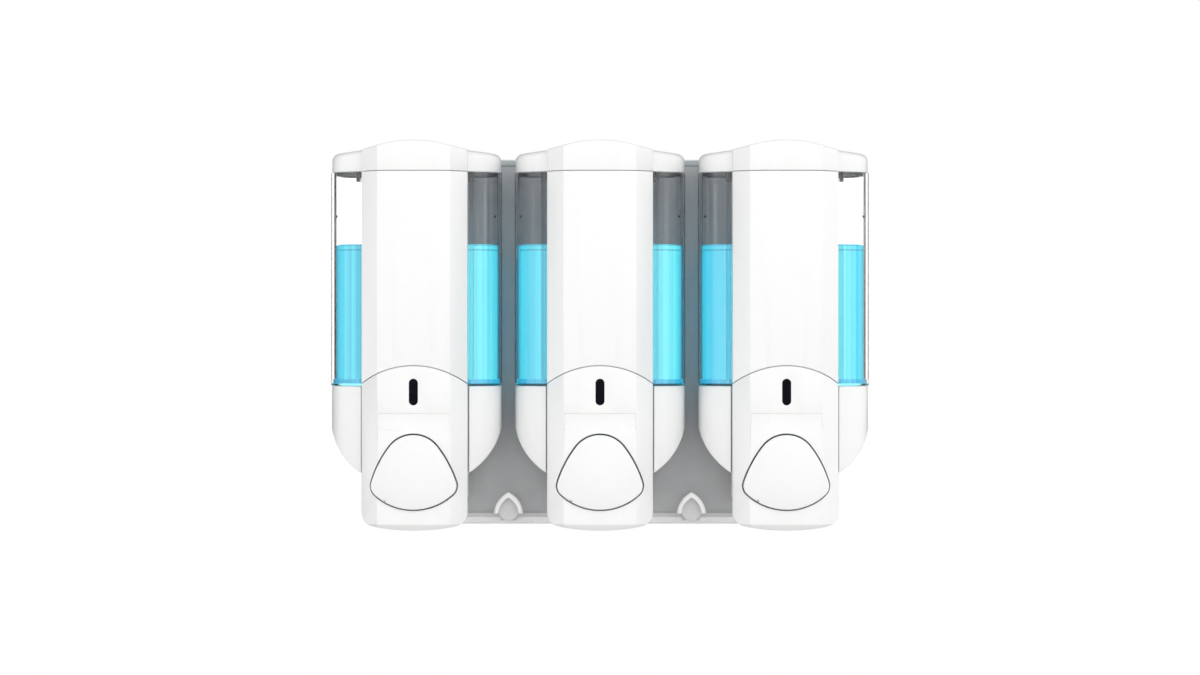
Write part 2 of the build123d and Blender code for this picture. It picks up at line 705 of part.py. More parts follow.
# ---- Lower housing
def build_lower_housing(x):
    """Cup under the reservoir that narrows to the pump bay."""
    with BuildPart() as hollow:
        with BuildSketch(upright(x)):
            housing_profile()
            offset(amount=-WALL, kind=Kind.INTERSECTION, mode=Mode.REPLACE)
            with Locations((0, HOUSING_TOP)):
                Rectangle(2 * TANK_HALF, 5 * WALL)
        extrude(amount=ROOM)
        with BuildSketch(level(x, 0)):
            chamber_plan(HOUSING_INSET + WALL)
        extrude(amount=HOUSING_BOTTOM, mode=Mode.INTERSECT)
    with BuildPart() as housing:
        with BuildSketch(upright(x)):
            housing_profile()
        extrude(amount=ROOM)
        with BuildSketch(level(x, 0)):
            chamber_plan(HOUSING_INSET)
        extrude(amount=HOUSING_BOTTOM, mode=Mode.INTERSECT)
        add(hollow.part, mode=Mode.SUBTRACT)
        wall_back = RECESS_Y + HOUSING_INSET + WALL
        with BuildSketch(upright(x, wall_back + BOSS_DEPTH)):
            with Locations((-EAR_X, PUMP_Z), (EAR_X, PUMP_Z)):
                Circle(2 * SCREW_R)
        extrude(amount=BOSS_DEPTH + WALL / 2)
        with BuildSketch(upright(x, wall_back + BOSS_DEPTH)):
            with Locations((-EAR_X, PUMP_Z), (EAR_X, PUMP_Z)):
                Circle(SCREW_R)
        extrude(amount=ROOM, mode=Mode.SUBTRACT)
        with BuildSketch(upright(x, wall_back + WALL / 2)):
            with Locations((0, PUMP_Z)):
                Circle(BARREL_R + BARREL_PLAY)
            with Locations((0, SLOT_Z - WALL)):
                SlotOverall(SLOT_SIZE[0] - WALL, SLOT_SIZE[1] + WALL, rotation=90)
        extrude(amount=ROOM, mode=Mode.SUBTRACT)
        with BuildSketch(level(x, HOUSING_BOTTOM)):
            with Locations((0, PUMP_Y)):
                Circle(STUB_R + BARREL_PLAY)
        extrude(amount=WALL + 1, mode=Mode.SUBTRACT)
        with BuildSketch(upright(x, -HANGER_BACK)):
            with Locations((-FOOT_X, FOOT_Z), (FOOT_X, FOOT_Z)):
                Rectangle(*FOOT_SIZE)
        extrude(amount=-TANK_BACK - HANGER_BACK + WALL)
    return housing


# ---- Pump
def build_pump_body(x):
    """Barrel along Y with a screw seat, an inlet socket above and an outlet stub below."""
    with BuildPart() as pump:
        with BuildSketch(upright(x, BARREL_BACK)):
            with Locations((0, PUMP_Z)):
                Circle(BARREL_R)
        extrude(amount=BARREL_BACK - BARREL_FRONT)
        with BuildSketch(upright(x, SEAT_BACK)):
            with Locations((0, PUMP_Z)):
                Circle(NUT_R)
                Rectangle(2 * EAR_X, 2 * EAR_R)
            with Locations((-EAR_X, PUMP_Z), (EAR_X, PUMP_Z)):
                Circle(EAR_R)
        extrude(amount=SEAT_BACK - SEAT_FRONT)
        with BuildSketch(level(x, PUMP_Z)):
            with Locations((0, PUMP_Y)):
                Circle(SOCKET_R)
        extrude(amount=SOCKET_TOP - PUMP_Z)
        with BuildSketch(level(x, PUMP_Z)):
            with Locations((0, PUMP_Y)):
                Circle(STUB_R)
        extrude(amount=STUB_BOTTOM - PUMP_Z)
        with BuildSketch(upright(x, BORE_BACK)):
            with Locations((0, PUMP_Z)):
                Circle(BORE_R)
        extrude(amount=ROOM, mode=Mode.SUBTRACT)
        with BuildSketch(level(x, VALVE_SEAT_Z)):
            with Locations((0, PUMP_Y)):
                Circle(SOCKET_BORE_R)
        extrude(amount=ROOM / 2, mode=Mode.SUBTRACT)
        with BuildSketch(level(x, VALVE_SEAT_Z)):
            with Locations((0, PUMP_Y)):
                Circle(NECK_BORE_R)
        extrude(amount=PUMP_Z - VALVE_SEAT_Z, mode=Mode.SUBTRACT)
        with BuildSketch(level(x, PUMP_Z)):
            with Locations((0, PUMP_Y)):
                Circle(STUB_BORE_R)
        extrude(amount=STUB_BOTTOM - PUMP_Z, mode=Mode.SUBTRACT)
        with BuildSketch(upright(x, SEAT_BACK)):
            with Locations((-EAR_X, PUMP_Z), (EAR_X, PUMP_Z)):
                Circle(SCREW_R + TAB_PLAY)
        extrude(amount=SEAT_BACK - SEAT_FRONT, mode=Mode.SUBTRACT)
    return pump


def turned_along_y(x, steps):
    """Stepped round piece on the pump's axis: each step is front y, back y, outer and inner radius."""
    with BuildPart() as piece:
        for front, back, outer, inner in steps:
            with BuildSketch(upright(x, back)):
                with Locations((0, PUMP_Z)):
                    Circle(outer)
                    if inner:
                        Circle(inner, mode=Mode.SUBTRACT)
            extrude(amount=back - front)
    return piece


def turned_along_z(x, outline):
    """Round piece on the outlet's axis, from half its section: radius, height."""
    with BuildPart() as piece:
        with BuildSketch(upright(x, PUMP_Y)):
            with BuildLine():
                Polyline(*outline, close=True)
            make_face()
        revolve(axis=Axis((x, PUMP_Y, 0), (0, 0, 1)))
    return piece


def build_piston(x):
    """Rod and head, with the seal's groove."""
    groove = (HEAD_FRONT + GROOVE_EDGE, HEAD_BACK - GROOVE_EDGE)
    return turned_along_y(x, [
        (ROD_FRONT, HEAD_FRONT, ROD_R, 0),
        (HEAD_FRONT, groove[0], HEAD_R, 0),
        (groove[0], groove[1], SEAL_GROOVE_R, 0),
        (groove[1], HEAD_BACK, HEAD_R, 0),
    ])


def build_piston_seal(x):
    """Ring in the piston's groove."""
    front = HEAD_FRONT + GROOVE_EDGE
    back = HEAD_BACK - GROOVE_EDGE
    return turned_along_y(x, [(front, back, SEAL_R, SEAL_GROOVE_R)])


def build_pump_nut(x):
    """Cap on the barrel's mouth that guides the rod."""
    return turned_along_y(x, [
        (NUT_FRONT, BARREL_FRONT, NUT_R, ROD_R + ROD_PLAY),
        (BARREL_FRONT, NUT_BACK, NUT_R, BARREL_R),
    ])


def build_return_spring(x):
    """Coil spring round the rod, from the nut to the button."""
    low, high = SPRING_Y
    length = low - high
    with BuildPart() as spring:
        with BuildLine():
            start = (x, low, PUMP_Z)
            coil = Helix(length / SPRING_TURNS, length, SPRING_R, center=start, direction=(0, -1, 0))
        with BuildSketch(Plane(origin=coil @ 0, z_dir=coil % 0)):
            RegularPolygon(WIRE_R, WIRE_SIDES)
        sweep(is_frenet=True)
    return spring


def build_inlet_valve(x):
    """Flap valve: a disc on the socket's seat with a stem in the port."""
    return turned_along_z(x, [(r, VALVE_SEAT_Z + rise) for r, rise in FLAP_SECTION])


def build_outlet_valve(x):
    """Duckbill valve that hangs in the nozzle under the stub."""
    return turned_along_z(x, [(r, STUB_BOTTOM - drop) for r, drop in DUCKBILL_SECTION])


def build_outlet_gasket(x):
    """Flat ring between the nozzle and the housing."""
    return turned_along_z(x, [
        (STUB_R, HOUSING_BOTTOM), (NOZZLE_R, HOUSING_BOTTOM),
        (NOZZLE_R, NOZZLE_TOP), (STUB_R, NOZZLE_TOP),
    ])


def build_nozzle(x):
    """Tapered outlet pushed over the stub."""
    shelf = STUB_BOTTOM - VALVE_RIM
    return turned_along_z(x, [
        (STUB_R, NOZZLE_TOP), (NOZZLE_R, NOZZLE_TOP), (NOZZLE_R, NOZZLE_SHOULDER),
        (NOZZLE_TIP_R, NOZZLE_BOTTOM), (NOZZLE_BORE_R, NOZZLE_BOTTOM), (NOZZLE_BORE_R, shelf),
        (STUB_R, shelf),
    ])


def build_pump_screws(x):
    """The two screws of the pump's seat."""
    head_r, head_height = SCREW_HEAD
    places = [(-EAR_X, PUMP_Z), (EAR_X, PUMP_Z)]
    with BuildPart() as screws:
        with BuildSketch(upright(x, SCREW_TIP)):
            with Locations(*places):
                Circle(SCREW_R)
        extrude(amount=SCREW_TIP - SEAT_FRONT)
        with BuildSketch(upright(x, SEAT_FRONT)):
            with Locations(*places):
                Circle(head_r)
        extrude(amount=head_height)
        with BuildSketch(upright(x, SEAT_FRONT - head_height)):
            with Locations(*places):
                Rectangle(2 * SCREW_R, SCREW_R / 2)
                Rectangle(SCREW_R / 2, 2 * SCREW_R)
        extrude(amount=-head_height / 2, mode=Mode.SUBTRACT)
    return screws


# ---- Backplate, its pads and its hooks
def build_backplate():
    """Bracket behind the row: sheet, rim, lugs, screw holes, pad pockets and hook sockets."""
    width = 2 * PLATE_HALF
    height = PLATE_TOP - PLATE_BOTTOM
    middle = (0, (PLATE_TOP + PLATE_BOTTOM) / 2)
    inner = (width - 2 * RIM_WIDTH, height - RIM_WIDTH - BOTTOM_RIM)
    inner_middle = (0, middle[1] + (BOTTOM_RIM - RIM_WIDTH) / 2)
    with BuildPart() as plate:
        with BuildSketch(upright(0)):
            with Locations(middle):
                RectangleRounded(width, height, PLATE_CORNER)
        extrude(amount=RIM_Y)
        fillet(plate.faces().sort_by(Axis.Y)[0].edges(), RIM_ROUND)
        with BuildSketch(upright(0, -SHEET)):
            with Locations(inner_middle):
                RectangleRounded(*inner, PLATE_CORNER - RIM_WIDTH)
        extrude(amount=RIM_Y - SHEET, mode=Mode.SUBTRACT)
        front = plate.edges().group_by(Axis.Y)[0].filter_by(Axis.X)
        lip = front.sort_by(lambda e: abs(e.center().Z - PLATE_BOTTOM - BOTTOM_RIM))[0]
        chamfer(lip, RIM_SLOPE)
        with BuildSketch(upright(0, STEP_DEPTH - SHEET)):
            with Locations((0, STEP_Z)):
                Rectangle(inner[0] - 2 * PLATE_CORNER, STEP_HEIGHT, align=(Align.CENTER, Align.MAX))
        extrude(amount=STEP_DEPTH, mode=Mode.SUBTRACT)
        add_lugs()
        with BuildSketch(upright(0)):
            with Locations((-PAD_X, 0), (PAD_X, 0)):
                RectangleRounded(*PAD_SIZE, PAD_CORNER)
        extrude(amount=PAD_DEPTH, mode=Mode.SUBTRACT)
        with Locations(upright(0, -SHEET)):
            with Locations(*[(i * SCREW_X, k * SCREW_Z) for i in (-1, 1) for k in (-1, 1)]):
                CounterSinkHole(SCREW_HOLE_R, SCREW_HEAD_R, SHEET, 90)
        with BuildSketch(upright(0, -PAD_DEPTH)):
            with Locations((-HOOK_X, PEG_Z), (HOOK_X, PEG_Z)):
                Circle(PEG_R)
        extrude(amount=SHEET, mode=Mode.SUBTRACT)
    return plate


def add_lugs():
    """T-shaped lugs that the chambers hang on."""
    with BuildPart() as lugs:
        for x in CHAMBERS.values():
            with BuildSketch(level(x, LUG_BOTTOM)):
                with Locations((0, 0)):
                    Rectangle(2 * LUG_STEM_HALF, LUG_HEAD_BACK, align=(Align.CENTER, Align.MAX))
                with Locations((0, -LUG_HEAD_BACK)):
                    depth = LUG_HEAD_FRONT - LUG_HEAD_BACK
                    Rectangle(2 * LUG_HEAD_HALF, depth, align=(Align.CENTER, Align.MAX))
            extrude(amount=LUG_TOP - LUG_BOTTOM)
    add(lugs.part)


def build_adhesive_pads():
    """Foam pads, flush in their pockets in the plate's back."""
    with BuildPart() as pads:
        with BuildSketch(upright(0)):
            with Locations((-PAD_X, 0), (PAD_X, 0)):
                RectangleRounded(*PAD_SIZE, PAD_CORNER)
        extrude(amount=PAD_DEPTH)
    return pads


def build_hook(x, plate):
    """Hook with a pointed-arch tongue, a shelf back to the plate and a peg in it."""
    with BuildPart() as hook:
        with BuildSketch(sideways(x)):
            with BuildLine():
                Polyline(
                    (-PAD_DEPTH, FOOT_TOP), (-SHEET - FOOT_DEPTH, FOOT_TOP), (-SHEET - FOOT_DEPTH, PEG_Z),
                    (-SHEET - 2 * FOOT_DEPTH, TONGUE_BOTTOM + SHELF), (-TONGUE_BACK, TONGUE_BOTTOM + SHELF),
                    (-TONGUE_FRONT, TONGUE_BOTTOM), (-PAD_DEPTH, TONGUE_BOTTOM), close=True,
                )
            make_face()
        extrude(amount=FOOT_HALF, both=True)
        add(plate.part, mode=Mode.SUBTRACT)
        with BuildSketch(upright(x, -PAD_DEPTH)):
            with Locations((0, PEG_Z)):
                Circle(PEG_R)
        extrude(amount=SHEET)
        with BuildSketch(upright(x, -TONGUE_BACK)):
            arch(ARCH_HALF, ARCH_FOOT, ARCH_MID, ARCH_TOP)
            with Locations((0, TONGUE_BOTTOM + TONGUE_HALF)):
                Circle(TONGUE_HALF)
        extrude(amount=TONGUE_FRONT - TONGUE_BACK)
        with BuildSketch(upright(x, -TONGUE_FRONT)):
            arch(ARCH_HALF, ARCH_FOOT, ARCH_MID, ARCH_TOP)
            arch(ARCH_HALF - ARCH_WIDTH, ARCH_FOOT, INNER_MID, INNER_TOP, mode=Mode.SUBTRACT)
        extrude(amount=ARCH_PROUD)
        front = hook.edges().group_by(Axis.Y)[0]
        outer = front.sort_by(lambda e: e.length)[-2:]
        chamfer(outer, ARCH_BEVEL)
    return hook


BUILDERS = {
    "lid": build_lid,
    "reservoir": build_reservoir,
    "soap": build_soap,
    "column_panel": build_column_panel,
    "front_cover": build_front_cover,
    "window_lens": build_window_lens,
    "button": build_button,
    "lower_housing": build_lower_housing,
    "pump_body": build_pump_body,
    "piston": build_piston,
    "piston_seal": build_piston_seal,
    "pump_nut": build_pump_nut,
    "return_spring": build_return_spring,
    "inlet_valve": build_inlet_valve,
    "outlet_valve": build_outlet_valve,
    "outlet_gasket": build_outlet_gasket,
    "nozzle": build_nozzle,
    "pump_screws": build_pump_screws,
}

for side, centre in CHAMBERS.items():
    for kind, build in BUILDERS.items():
        finish(build(centre), f"{kind}_{side}")

backplate = build_backplate()
finish(build_hook(-HOOK_X, backplate), "hook_left")
finish(build_hook(HOOK_X, backplate), "hook_right")
finish(build_adhesive_pads(), "adhesive_pads")
finish(backplate, "backplate")
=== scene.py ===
"""Looks of the wall mounted soap dispenser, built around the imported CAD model."""

import json
import math

import bmesh
import bpy
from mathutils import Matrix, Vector


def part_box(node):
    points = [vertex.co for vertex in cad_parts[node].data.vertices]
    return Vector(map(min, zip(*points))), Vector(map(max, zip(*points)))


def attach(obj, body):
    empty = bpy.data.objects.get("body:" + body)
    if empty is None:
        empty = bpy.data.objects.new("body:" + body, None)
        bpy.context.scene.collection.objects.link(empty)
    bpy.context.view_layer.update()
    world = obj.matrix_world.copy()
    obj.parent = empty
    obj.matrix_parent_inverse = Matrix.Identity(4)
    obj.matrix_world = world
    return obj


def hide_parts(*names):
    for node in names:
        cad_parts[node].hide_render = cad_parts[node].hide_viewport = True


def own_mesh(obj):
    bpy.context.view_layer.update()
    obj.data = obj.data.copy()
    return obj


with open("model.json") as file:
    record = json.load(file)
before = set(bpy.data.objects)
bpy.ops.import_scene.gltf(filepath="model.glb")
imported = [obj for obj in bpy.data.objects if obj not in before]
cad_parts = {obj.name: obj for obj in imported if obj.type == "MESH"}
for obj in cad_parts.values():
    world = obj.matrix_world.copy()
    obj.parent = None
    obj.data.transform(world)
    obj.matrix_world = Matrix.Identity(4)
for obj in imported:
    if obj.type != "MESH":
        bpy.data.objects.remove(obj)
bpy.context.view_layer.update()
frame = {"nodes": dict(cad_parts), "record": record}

MM = 0.001
SIDES = ("left", "middle", "right")
NODES = frame["nodes"]
BODY_OF = {node: body for body, nodes in frame["record"]["behaviour"]["bodies"].items() for node in nodes}
SLOT_OF = {s["node"]: s["material_slot"] for s in frame["record"]["subparts"]}

# ---- Camera: straight in front of the row, as far away as a product picture is taken
CAMERA_DISTANCE = 1.931
CAMERA_LENS = 107.1
CAMERA_SENSOR = 36.0

camera = bpy.data.objects.new("camera", bpy.data.cameras.new("camera"))
camera.data.lens = CAMERA_LENS
camera.data.sensor_width = CAMERA_SENSOR
camera.location = (0.0, -CAMERA_DISTANCE, 0.0)
camera.rotation_euler = (math.radians(90), 0.0, 0.0)
bpy.context.scene.collection.objects.link(camera)
bpy.context.scene.camera = camera


# ---- Shader nodes
def add_node(tree, kind, settings=None, **inputs):
    """A shader node with its settings and inputs. An input is named by its label, or by _ and its number,
    and its value may be another node's output."""
    node = tree.nodes.new(kind)
    for name, value in (settings or {}).items():
        setattr(node, name, value)
    for name, value in inputs.items():
        socket = node.inputs[int(name[1:])] if name[1:].isdigit() else node.inputs[name.replace("_", " ")]
        if isinstance(value, bpy.types.NodeSocket):
            tree.links.new(value, socket)
        else:
            socket.default_value = value
    return node


def place(tree, scale=(1, 1, 1)):
    """The piece's own coordinates, stretched by a scale."""
    coordinates = add_node(tree, "ShaderNodeTexCoord").outputs["Object"]
    return add_node(tree, "ShaderNodeMapping", Vector=coordinates, Scale=scale).outputs["Vector"]


def part_of(tree, vector, axis):
    return add_node(tree, "ShaderNodeSeparateXYZ", Vector=vector).outputs[axis]


def noise(tree, vector, scale, detail=2.0):
    return add_node(tree, "ShaderNodeTexNoise", Vector=vector, Scale=scale, Detail=detail).outputs["Fac"]


def remap(tree, value, source, target=(0.0, 1.0), smooth=False):
    """A value carried from one range to another, in a straight line or smoothly."""
    node = add_node(
        tree, "ShaderNodeMapRange", {"interpolation_type": "SMOOTHSTEP" if smooth else "LINEAR"},
        Value=value, From_Min=source[0], From_Max=source[1], To_Min=target[0], To_Max=target[1],
    )
    return node.outputs["Result"]


def maths(tree, operation, *values):
    inputs = {f"_{i}": value for i, value in enumerate(values)}
    return add_node(tree, "ShaderNodeMath", {"operation": operation}, **inputs).outputs[0]


def mix_colours(tree, share, first, second, blend="MIX"):
    settings = {"data_type": "RGBA", "blend_type": blend}
    return add_node(tree, "ShaderNodeMix", settings, _0=share, _6=first, _7=second).outputs[2]


def colour_ramp(tree, factor, *stops):
    """Colours along a factor, from stops of (position, colour)."""
    node = add_node(tree, "ShaderNodeValToRGB", Fac=factor)
    elements = node.color_ramp.elements
    for index, (position, colour) in enumerate((stops[0], stops[-1])):
        elements[index].position = position
        elements[index].color = (*colour, 1)
    for position, colour in stops[1:-1]:
        elements.new(position).color = (*colour, 1)
    return node.outputs["Color"]


NOISE_MIDDLE = (0.3, 0.7)  # where most of a noise's values lie
TINT_STOPS = (0.35, 0.65)


def tint(tree, factor, low, high):
    """Colour between two tints by a noise value."""
    return colour_ramp(tree, factor, (TINT_STOPS[0], low), (TINT_STOPS[1], high))


def new_material(name, **values):
    """A material with one Principled shader. Returns the material, its tree and the shader."""
    material = bpy.data.materials.new(name)
    material.use_nodes = True
    tree = material.node_tree
    shader = next(n for n in tree.nodes if n.type == "BSDF_PRINCIPLED")
    for key, value in values.items():
        shader.inputs[key.replace("_", " ")].default_value = value
    return material, tree, shader


def set_colour(tree, shader, colour):
    tree.links.new(colour, shader.inputs["Base Color"])


def set_rough(tree, shader, value, low, high):
    """Uneven gloss between two roughnesses."""
    tree.links.new(remap(tree, value, NOISE_MIDDLE, (low, high)), shader.inputs["Roughness"])


def set_bump(tree, shader, height, strength, distance=0.2 * MM):
    node = add_node(tree, "ShaderNodeBump", Height=height, Strength=strength, Distance=distance)
    tree.links.new(node.outputs["Normal"], shader.inputs["Normal"])


def let_lamps_through(tree, shader, colour):
    """Lets lamp light pass a clear piece unbent, so that what stands behind it is lit."""
    output = next(n for n in tree.nodes if n.type == "OUTPUT_MATERIAL")
    shadow = add_node(tree, "ShaderNodeLightPath").outputs["Is Shadow Ray"]
    clear = add_node(tree, "ShaderNodeBsdfTransparent", Color=(*colour, 1)).outputs["BSDF"]
    mix = add_node(tree, "ShaderNodeMixShader", _0=shadow, _1=shader.outputs["BSDF"], _2=clear)
    tree.links.new(mix.outputs["Shader"], output.inputs["Surface"])


# ---- Moulded plastics
CLOUD_SCALE = 160.0
GLOSS_SCALE = 240.0
GRAIN_SCALE = 700.0
GRAIN_DEPTH = 0.02

WHITE = ((0.893, 0.893, 0.888), (0.9, 0.9, 0.896))
WHITE_ROUGH = (0.28, 0.33)
SATIN_ROUGH = (0.32, 0.4)


def moulded_skin(tree, shader, at, rough):
    """Uneven gloss and a fine grain."""
    set_rough(tree, shader, noise(tree, at, GLOSS_SCALE, 4.0), *rough)
    set_bump(tree, shader, noise(tree, at, GRAIN_SCALE, 3.0), GRAIN_DEPTH)


def moulded(name, tones, rough, **values):
    """Moulding with a faint cloudiness between two tones."""
    material, tree, shader = new_material(name, **values)
    at = place(tree)
    set_colour(tree, shader, tint(tree, noise(tree, at, CLOUD_SCALE, 3.0), *tones))
    moulded_skin(tree, shader, at, rough)
    return material


def painted_shade_two_tone(name, shaded_tones, lit_tones, axis, edge, rough=SATIN_ROUGH):
    """Moulding with painted shade and light: a shaded and a lit tone, which change at a depth along an axis of
    the piece.
    """
    material, tree, shader = new_material(name)
    at = place(tree)
    share = remap(tree, part_of(tree, at, axis), edge, smooth=True)
    cloud = noise(tree, at, CLOUD_SCALE, 3.0)
    set_colour(tree, shader, mix_colours(tree, share, tint(tree, cloud, *shaded_tones), tint(tree, cloud, *lit_tones)))
    moulded_skin(tree, shader, at, rough)
    return material


# ---- Clear tanks and their soap
UPRIGHT = (1, 1, 0.004)  # draws a noise out into upright lines
TANK_FLOOR = (-24.4 * MM, -24.2 * MM)
FLOW_TONES = ((0.82, 0.83, 0.85), (0.99, 0.993, 0.997))
# Painted light: the soap's colour painted into the clear tank's foot, standing in for the soap seen through it
PAINTED_SOAP_TEAL = (0.25, 0.78, 0.86, 1)


def clear_plastic():
    """Clear moulded tank: faint upright flow lines, and a foot painted in the soap's colour, standing in for
    the soap seen through it.
    """
    material, tree, shader = new_material("clear_tank", IOR=1.49, Transmission_Weight=1.0)
    streaks = noise(tree, place(tree, UPRIGHT), 420.0, 3.0)
    above_floor = remap(tree, part_of(tree, place(tree), "Z"), TANK_FLOOR)
    set_colour(tree, shader, mix_colours(tree, above_floor, PAINTED_SOAP_TEAL, tint(tree, streaks, *FLOW_TONES)))
    set_rough(tree, shader, noise(tree, place(tree), 90.0, 3.0), 0.0, 0.03)
    set_bump(tree, shader, streaks, 0.03)
    let_lamps_through(tree, shader, (0.98, 0.985, 0.99))
    return material


SOAP_LEVEL = 49.2 * MM
SOAP_BAND = 4.0 * MM
SOAP_FOOT = (-22.4 * MM, -21.8 * MM)
SOAP_UPRIGHT = (1, 1, 0.01)
SOAP_TONES = ((0.07, 0.78, 0.98), (0.22, 1.0, 1.0))
# Painted shade: a deeper blue at the soap's foot, behind the tank's thick foot
PAINTED_FOOT_SHADE = (0.03, 0.5, 0.78, 1)
PLAIN = (1, 1, 1)
# Painted shade of the meniscus, not a mark on the soap
PAINTED_MENISCUS_SHADE = (0.1, 0.35, 0.45)

# Painted shade: darker lines near the surface, standing in for the shading of the meniscus, by the share of the
# band's height
PAINTED_SURFACE_SHADE = (
    (0.0, PLAIN), (0.18, PLAIN), (0.24, PAINTED_MENISCUS_SHADE), (0.3, PAINTED_MENISCUS_SHADE), (0.36, PLAIN), (0.8, PLAIN),
    (0.86, (0.15, 0.5, 0.62)), (1.0, (0.75, 1, 1)),
)
# Painted shade: deeper colour towards the side walls, by the share of the tank's width
PAINTED_SIDE_SHADE = (
    (0.0, (0.4, 0.74, 0.95)), (0.08, (0.7, 0.9, 0.98)), (0.17, PLAIN), (0.96, PLAIN), (1.0, (0.45, 0.8, 0.95)),
)


def soap_liquid():
    """Cyan liquid soap, clouded, with a painted glow: its faint emission stands in for light shining through
    it.
    """
    material, tree, shader = new_material(
        "cyan_soap", IOR=1.36, Transmission_Weight=0.04, Roughness=0.04,
        # Painted glow: the soap is no lamp, this emission stands in for light shining through it
        Emission_Color=(0.12, 0.8, 1.0, 1), Emission_Strength=0.26,
    )
    height = part_of(tree, place(tree), "Z")
    across = part_of(tree, add_node(tree, "ShaderNodeTexCoord").outputs["Generated"], "X")
    clouded = tint(tree, noise(tree, place(tree, SOAP_UPRIGHT), 62.0, 3.0), *SOAP_TONES)
    # Painted shade: deeper blue below the foot's line
    colour = mix_colours(tree, remap(tree, height, SOAP_FOOT), PAINTED_FOOT_SHADE, clouded)
    in_band = remap(tree, height, (SOAP_LEVEL - SOAP_BAND, SOAP_LEVEL))
    # Multiplies in the painted shade near the surface and towards the side walls
    for factor, stops in ((in_band, PAINTED_SURFACE_SHADE), (across, PAINTED_SIDE_SHADE)):
        colour = mix_colours(tree, 1.0, colour, colour_ramp(tree, factor, *stops), "MULTIPLY")
    set_colour(tree, shader, colour)
    let_lamps_through(tree, shader, (0.3, 0.7, 0.85))
    return material


# ---- Smaller materials
def smoked_lens():
    """Nearly black window plastic, painted shade: it stands in for the dark inside seen through the window."""
    material, tree, shader = new_material("smoked_lens", IOR=1.49, Specular_IOR_Level=0.05)
    at = place(tree)
    set_colour(tree, shader, tint(tree, noise(tree, at, 240.0), (0.0015, 0.002, 0.004), (0.003, 0.004, 0.008)))
    set_rough(tree, shader, noise(tree, at, 120.0), 0.2, 0.3)
    return material


def drawn_wire():
    """Spring wire with fine marks from its die."""
    material, tree, shader = new_material("spring_steel", Metallic=1.0)
    at = place(tree)
    set_colour(tree, shader, tint(tree, noise(tree, at, 400.0), (0.52, 0.52, 0.53), (0.68, 0.68, 0.69)))
    set_rough(tree, shader, noise(tree, at, 900.0), 0.22, 0.38)
    return material


def foam():
    """Cellular foam of the mounting pads."""
    material, tree, shader = new_material("foam_pad", Roughness=0.9, Sheen_Weight=0.1)
    cells = add_node(tree, "ShaderNodeTexVoronoi", Vector=place(tree), Scale=900.0).outputs["Distance"]
    set_colour(tree, shader, tint(tree, cells, (0.62, 0.62, 0.6), (0.8, 0.8, 0.77)))
    set_bump(tree, shader, cells, 0.6, 0.4 * MM)
    return material


# Painted light and shade: the plate's recessed sheet painted grey as shade, its raised rim painted light
PLATE_SHADE_AND_LIGHT_TONES = (((0.52, 0.525, 0.535), (0.54, 0.545, 0.552)), ((0.9, 0.9, 0.895), (0.92, 0.92, 0.915)))
PLATE_LIP = (-3.6 * MM, -4.2 * MM)
# Painted shade: the hook's hollow tongue face greyer than its white rim
TONGUE_SHADE_TONES = ((0.62, 0.62, 0.62), (0.64, 0.64, 0.64))
TONGUE_FACE = (-27.05 * MM, -27.3 * MM)
# Painted shade: the lid's skirt near black, standing in for the shade under the lid
SKIRT_SHADE_TONES = ((0.07, 0.075, 0.08), (0.09, 0.095, 0.1))
SKIRT_TOP = (87.1 * MM, 87.4 * MM)

MATERIALS = {
    "white_abs": moulded("white_abs", WHITE, WHITE_ROUGH),
    # Painted light and shade on the plate: sheet darker, rim lighter
    "plate_plastic": painted_shade_two_tone("plate_plastic", *PLATE_SHADE_AND_LIGHT_TONES, "Y", PLATE_LIP),
    "inner_plastic": moulded("inner_plastic", ((0.78, 0.79, 0.79), (0.84, 0.85, 0.85)), (0.4, 0.55)),
    "soft_rubber": moulded(
        "soft_rubber", ((0.55, 0.56, 0.56), (0.64, 0.65, 0.65)), (0.55, 0.7), Subsurface_Weight=0.1,
    ),
    "clear_plastic": clear_plastic(),
    "cyan_soap": soap_liquid(),
    # Painted shade: the window is drawn near black, for the dark inside behind it
    "smoked_lens": smoked_lens(),
    "spring_steel": drawn_wire(),
    "foam_pad": foam(),
}
HOOK_SHADED_MATERIAL = painted_shade_two_tone("hook_plastic_painted_shade", TONGUE_SHADE_TONES, WHITE, "Y", TONGUE_FACE)
CAP_SHADED_MATERIAL = painted_shade_two_tone("cap_plastic_painted_shade", SKIRT_SHADE_TONES, WHITE, "Z", SKIRT_TOP, WHITE_ROUGH)

for name, node in NODES.items():
    node.data.materials.clear()
    node.data.materials.append(MATERIALS[SLOT_OF[name]])
# Painted shade on the hooks' tongues
for side in ("left", "right"):
    NODES[f"hook_{side}"].data.materials[0] = HOOK_SHADED_MATERIAL


# ---- Pieces
def link_new(name, mesh):
    made = bpy.data.objects.new(name, mesh)
    bpy.context.scene.collection.objects.link(made)
    return made


def mesh_from(made, name):
    """The finished mesh of a bmesh, which is freed."""
    mesh = bpy.data.meshes.new(name)
    made.to_mesh(mesh)
    made.free()
    return mesh


def replace_node(name, mesh, node):
    """A finished piece in a CAD node's place, on its body and with its material."""
    piece = link_new(name, mesh)
    mesh.materials.clear()
    mesh.materials.append(MATERIALS[SLOT_OF[node]])
    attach(piece, BODY_OF[node])
    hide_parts(node)
    return piece


# ---- Return springs
SPRING_TURNS = 5.5
SPRING_WIRE = 0.45 * MM
SPRING_STEPS = 36
WIRE_SIDES = 8
END_TURNS = 0.9
END_PITCH = 2.1 * SPRING_WIRE


def ring_points(centre, radius, axis_u, axis_v, count):
    step = 2 * math.pi / count
    return [centre + (axis_u * math.cos(i * step) + axis_v * math.sin(i * step)) * radius for i in range(count)]


